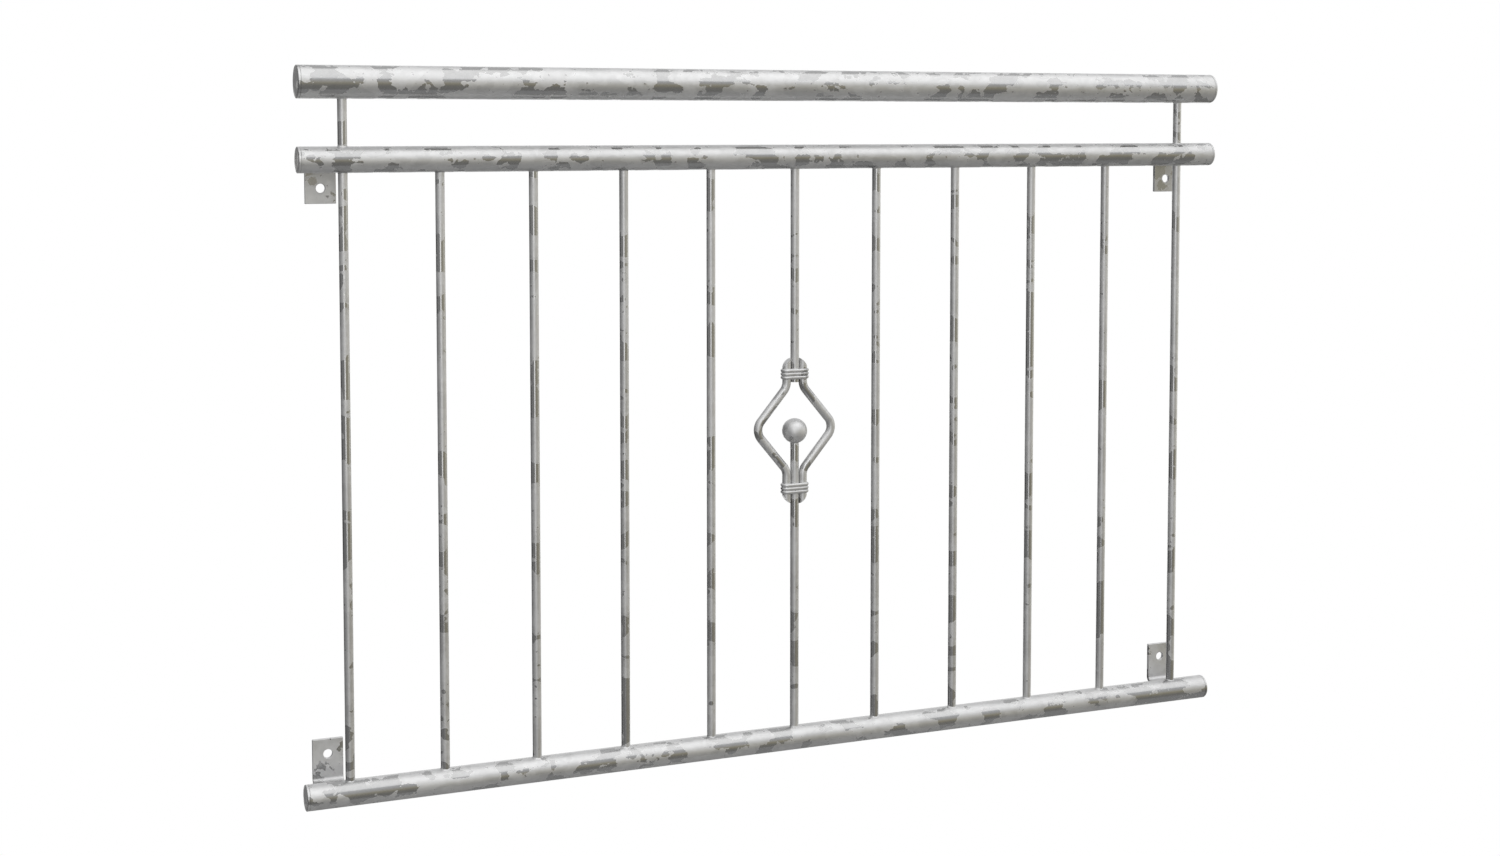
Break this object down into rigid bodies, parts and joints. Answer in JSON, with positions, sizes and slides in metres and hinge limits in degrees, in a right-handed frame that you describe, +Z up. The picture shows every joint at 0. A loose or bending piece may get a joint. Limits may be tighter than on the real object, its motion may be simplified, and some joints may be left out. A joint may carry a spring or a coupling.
{
  "type": "juliet balcony",
  "caption": "Galvanised steel juliet balcony: round rails, upright round bars, a diamond and ball on the middle bar, and bent wall straps.",
  "frame": {"origin": "on the wall face of the lower left strap, on its centre line, 17.5 mm below its bolt hole and 20 mm above the bottom rail's axis", "axes": "+X to the right along the rails as seen from outside, +Y into the wall, +Z up"},
  "size_m": [1.365, 0.0802, 0.9511],
  "materials": {
    "galvanised_tube": "hot dip galvanised, patchy spangle, half gloss",
    "galvanised_bar": "hot dip galvanised, patchy spangle, half gloss",
    "galvanised_ornament": "hot dip galvanised, fine spangle, half gloss",
    "galvanised_strap": "hot dip galvanised, dull, patchy"
  },
  "bodies": {
    "root": {"handrail_tube": "galvanised_tube", "handrail_cap_left": "galvanised_tube", "handrail_cap_right": "galvanised_tube", "top_rail_tube": "galvanised_tube", "top_rail_cap_left": "galvanised_tube", "top_rail_cap_right": "galvanised_tube", "bottom_rail_tube": "galvanised_tube", "bottom_rail_cap_left": "galvanised_tube", "bottom_rail_cap_right": "galvanised_tube", "riser_left": "galvanised_bar", "riser_right": "galvanised_bar", "center_bar_upper": "galvanised_bar", "center_bar_lower": "galvanised_bar", "bar_01": "galvanised_bar", "bar_02": "galvanised_bar", "bar_03": "galvanised_bar", "bar_04": "galvanised_bar", "bar_05": "galvanised_bar", "bar_07": "galvanised_bar", "bar_08": "galvanised_bar", "bar_09": "galvanised_bar", "bar_10": "galvanised_bar", "bar_11": "galvanised_bar", "ball": "galvanised_ornament", "ornament_rod_left": "galvanised_ornament", "ornament_rod_right": "galvanised_ornament", "collar_upper": "galvanised_ornament", "collar_lower": "galvanised_ornament", "bracket_upper_left": "galvanised_strap", "bracket_upper_right": "galvanised_strap", "bracket_lower_left": "galvanised_strap", "bracket_lower_right": "galvanised_strap"}
  },
  "joints": []
}
